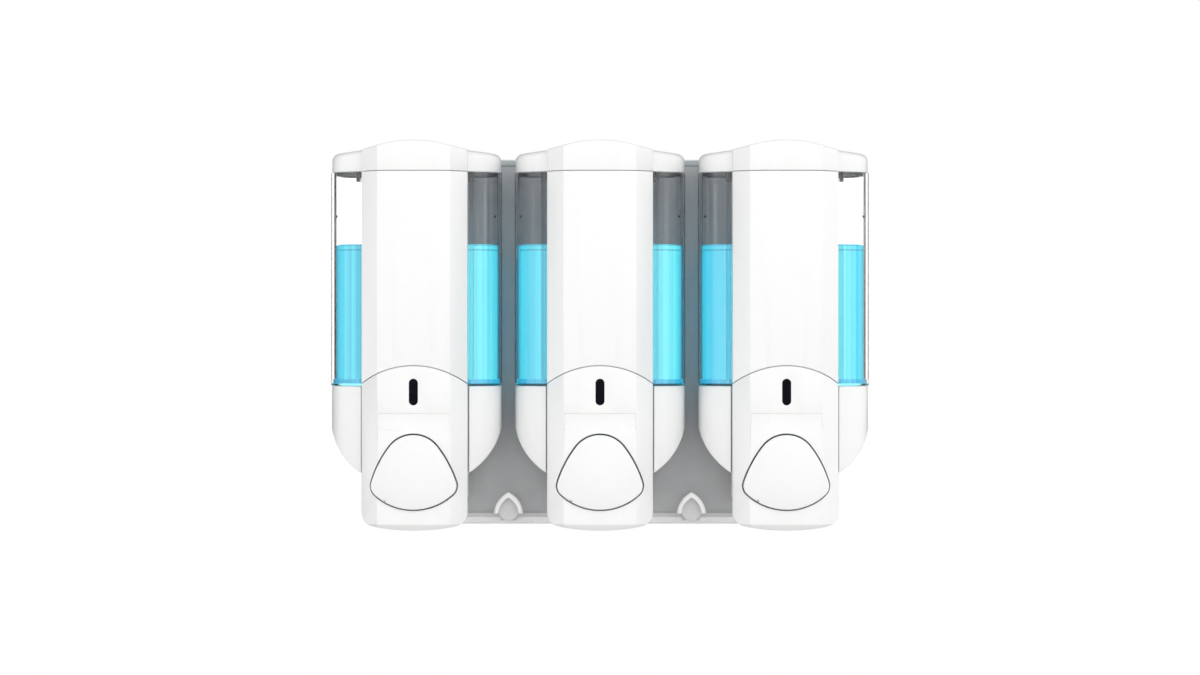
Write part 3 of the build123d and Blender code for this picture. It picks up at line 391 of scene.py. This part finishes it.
def spring_mesh(name, low, high):
    """Coil spring along Y with closed ends, from the CAD spring's box."""
    centre_x, centre_z = (low.x + high.x) / 2, (low.z + high.z) / 2
    radius = (high.x - low.x) / 2 - SPRING_WIRE
    start, end = high.y - SPRING_WIRE, low.y + SPRING_WIRE
    open_length = abs(end - start) - 2 * END_TURNS * END_PITCH
    steps = int(SPRING_TURNS * SPRING_STEPS)
    made = bmesh.new()
    previous = None
    for i in range(steps + 1):
        turn = i / steps * SPRING_TURNS
        eased = min(max((turn - END_TURNS) / (SPRING_TURNS - 2 * END_TURNS), 0.0), 1.0)
        closed = (min(turn, END_TURNS) + max(turn - SPRING_TURNS + END_TURNS, 0.0)) * END_PITCH
        angle = 2 * math.pi * turn
        out = Vector((math.cos(angle), 0, math.sin(angle)))
        centre = Vector((centre_x, start - closed - eased * open_length, centre_z)) + out * radius
        points = ring_points(centre, SPRING_WIRE, out, Vector((0, 1, 0)), WIRE_SIDES)
        ring = [made.verts.new(p) for p in points]
        if previous:
            for a in range(WIRE_SIDES):
                b = (a + 1) % WIRE_SIDES
                made.faces.new((previous[a], previous[b], ring[b], ring[a]))
        else:
            made.faces.new(ring)
        previous = ring
    made.faces.new(reversed(previous))
    bmesh.ops.recalc_face_normals(made, faces=made.faces)
    for face in made.faces:
        face.smooth = len(face.verts) == 4
    return mesh_from(made, name)


for side in SIDES:
    low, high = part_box(f"return_spring_{side}")
    coil = replace_node(f"coil_{side}", spring_mesh(f"coil_{side}", low, high), f"return_spring_{side}")
    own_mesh(coil)


# ---- White mouldings with their edges rounded over
EDGE_ROUND = {
    "lid": 0.3 * MM, "lower_housing": 0.5 * MM, "column_panel": 0.3 * MM, "front_cover": 0.18 * MM,
    "button": 0.08 * MM,
}
EDGE_SEGMENTS = 3
EDGE_ANGLE = math.radians(28)
FLAT_ANGLE = math.radians(0.6)
SHORTEST_EDGE = 0.02 * MM
MOST_KEPT_CORNERS = 4  # faces with more are split into triangles


def softened_mesh(name, source, width):
    """The shell of a moulding with its sharp edges rounded over."""
    made = bmesh.new()
    made.from_mesh(source.data)
    bmesh.ops.remove_doubles(made, verts=made.verts, dist=SHORTEST_EDGE)
    bmesh.ops.dissolve_limit(made, angle_limit=FLAT_ANGLE, verts=made.verts, edges=made.edges)
    bmesh.ops.dissolve_degenerate(made, edges=made.edges, dist=SHORTEST_EDGE)
    mesh = mesh_from(made, name)
    for polygon in mesh.polygons:
        polygon.use_smooth = True
    sharp = link_new(name + "_sharp", mesh)
    bevel = sharp.modifiers.new("edges", "BEVEL")
    bevel.width = width
    bevel.segments = EDGE_SEGMENTS
    bevel.limit_method = "ANGLE"
    bevel.angle_limit = EDGE_ANGLE
    bevel.use_clamp_overlap = False
    bevel.harden_normals = True
    triangles = sharp.modifiers.new("triangles", "TRIANGULATE")
    triangles.quad_method = "FIXED"
    triangles.min_vertices = MOST_KEPT_CORNERS + 1
    triangles.keep_custom_normals = True
    finished = bpy.data.meshes.new_from_object(sharp.evaluated_get(bpy.context.evaluated_depsgraph_get()))
    bpy.data.objects.remove(sharp)
    finished.name = name
    return finished


for side in SIDES:
    for kind, width in EDGE_ROUND.items():
        node, name = f"{kind}_{side}", f"{kind}_shell_{side}"
        shell = replace_node(name, softened_mesh(name, NODES[node], width), node)
        # Painted shade on the lid's skirt
        if kind == "lid":
            shell.data.materials[0] = CAP_SHADED_MATERIAL


# ---- Soap
MENISCUS_WIDTH = 1.3 * MM
MENISCUS_RISE = 0.9 * MM
MENISCUS_STEPS = (0.35, 0.65)
MENISCUS_MIDDLE = 0.35
SAME_POINT = 0.002 * MM
SAME_LEVEL = 0.01 * MM


def liquid_mesh(name, source):
    """The soap with its surface drawn up where it wets the wall."""
    made = bmesh.new()
    made.from_mesh(source.data)
    bmesh.ops.remove_doubles(made, verts=made.verts, dist=SAME_POINT)
    level = max(v.co.z for v in made.verts) - SAME_LEVEL

    def surface_faces():
        return [f for f in made.faces if all(v.co.z > level for v in f.verts)]

    bmesh.ops.dissolve_faces(made, faces=surface_faces())
    surface = surface_faces()
    rim = {v for f in surface for v in f.verts}
    for share in MENISCUS_STEPS:
        bmesh.ops.inset_region(made, faces=surface, thickness=MENISCUS_WIDTH * share, use_even_offset=True)
    inner = {v for f in surface for v in f.verts}
    for v in made.verts:
        if v in rim:
            v.co.z += MENISCUS_RISE
        elif v.co.z > level and v not in inner:
            v.co.z += MENISCUS_RISE * MENISCUS_MIDDLE
    return mesh_from(made, name)


for side in SIDES:
    replace_node(f"liquid_{side}", liquid_mesh(f"liquid_{side}", NODES[f"soap_{side}"]), f"soap_{side}")


# ---- Floor, far below, because the row hangs on a wall
FLOOR_Z = -1.25
FLOOR_RADIUS = 3.2
FLOOR_SIDES = 96
FLOOR_GLOW = 0.32


def disc_mesh(name, radius, z):
    made = bmesh.new()
    bmesh.ops.create_circle(made, cap_ends=True, radius=radius, segments=FLOOR_SIDES)
    bmesh.ops.translate(made, verts=made.verts, vec=(0, 0, z))
    return mesh_from(made, name)


def floor_material():
    """Pale floor, brightened where it is seen."""
    material, tree, shader = new_material(
        "pale_floor", Roughness=0.9, Specular_IOR_Level=0.1, Emission_Color=(1, 1, 1, 1),
    )
    seen = add_node(tree, "ShaderNodeLightPath").outputs["Is Camera Ray"]
    tree.links.new(maths(tree, "MULTIPLY", seen, FLOOR_GLOW), shader.inputs["Emission Strength"])
    set_colour(tree, shader, tint(tree, noise(tree, place(tree), 3.0), (0.9, 0.9, 0.895), (0.93, 0.93, 0.925)))
    return material


floor = link_new("pale_floor", disc_mesh("pale_floor", FLOOR_RADIUS, FLOOR_Z))
floor.data.materials.append(floor_material())


# ---- Lights and world
def area_light(name, location, size, power):
    """A rectangular lamp that points at the middle of the row."""
    light = link_new(name, bpy.data.lights.new(name, "AREA"))
    light.data.shape = "RECTANGLE"
    light.data.size, light.data.size_y = size
    light.data.energy = power
    light.location = location
    light.rotation_euler = (-Vector(location)).to_track_quat("-Z", "Y").to_euler()
    light.visible_camera = False


area_light("key_light", (0.75, -1.7, 0.9), (0.6, 0.6), 2.5)
area_light("top_light", (0, -0.6, 1.1), (1.4, 0.6), 2.5)

SOFT_BOX = Vector((0.22, -0.97, 0)).normalized()

# Each pair: the range of a direction's value, and the strengths that it is carried to
TOWARDS_SOFT_BOX = ((-0.75, -0.1), (0.05, 1.42))
ABOVE_OR_BELOW = ((0.3, 0.85), (1.0, 0.15))
SIDES_THROUGH_TANKS = ((-0.45, -0.15), (0.0, -0.92))
BEHIND_THROUGH_TANKS = ((0.72, 0.9), (0.0, 1.7))


def build_world():
    """White where the camera sees it. Its light is strongest in front, and weaker above and below. Seen through
    the clear tanks it is bright straight behind and dark at the sides, which draws their walls."""
    world = bpy.data.worlds.new("studio")
    bpy.context.scene.world = world
    world.use_nodes = True
    tree = world.node_tree
    tree.nodes.clear()
    direction = add_node(tree, "ShaderNodeTexCoord").outputs["Generated"]
    depth = part_of(tree, direction, "Y")
    height = maths(tree, "ABSOLUTE", part_of(tree, direction, "Z"))
    facing = add_node(
        tree, "ShaderNodeVectorMath", {"operation": "DOT_PRODUCT"}, _0=direction, _1=SOFT_BOX,
    ).outputs["Value"]
    path = add_node(tree, "ShaderNodeLightPath")
    through = path.outputs["Is Transmission Ray"]
    front = remap(tree, facing, *TOWARDS_SOFT_BOX, smooth=True)
    belt = remap(tree, height, *ABOVE_OR_BELOW, smooth=True)
    dark_sides = remap(tree, depth, *SIDES_THROUGH_TANKS, smooth=True)
    behind = remap(tree, depth, *BEHIND_THROUGH_TANKS, smooth=True)
    dimming = maths(tree, "MULTIPLY_ADD", through, dark_sides, 1.0)
    light = maths(tree, "MULTIPLY", maths(tree, "MULTIPLY", front, belt), dimming)
    light = maths(tree, "MAXIMUM", light, maths(tree, "MULTIPLY", through, behind))
    strength = maths(tree, "MAXIMUM", path.outputs["Is Camera Ray"], light)
    background = add_node(tree, "ShaderNodeBackground", Color=(1, 1, 1, 1), Strength=strength)
    output = add_node(tree, "ShaderNodeOutputWorld")
    tree.links.new(background.outputs[0], output.inputs["Surface"])


build_world()

scene = bpy.context.scene
scene.view_settings.view_transform = "Standard"
scene.view_settings.look = "None"
scene.cycles.max_bounces = 24
scene.cycles.transmission_bounces = 24
scene.cycles.transparent_max_bounces = 16
scene.cycles.diffuse_bounces = 4
scene.cycles.glossy_bounces = 6
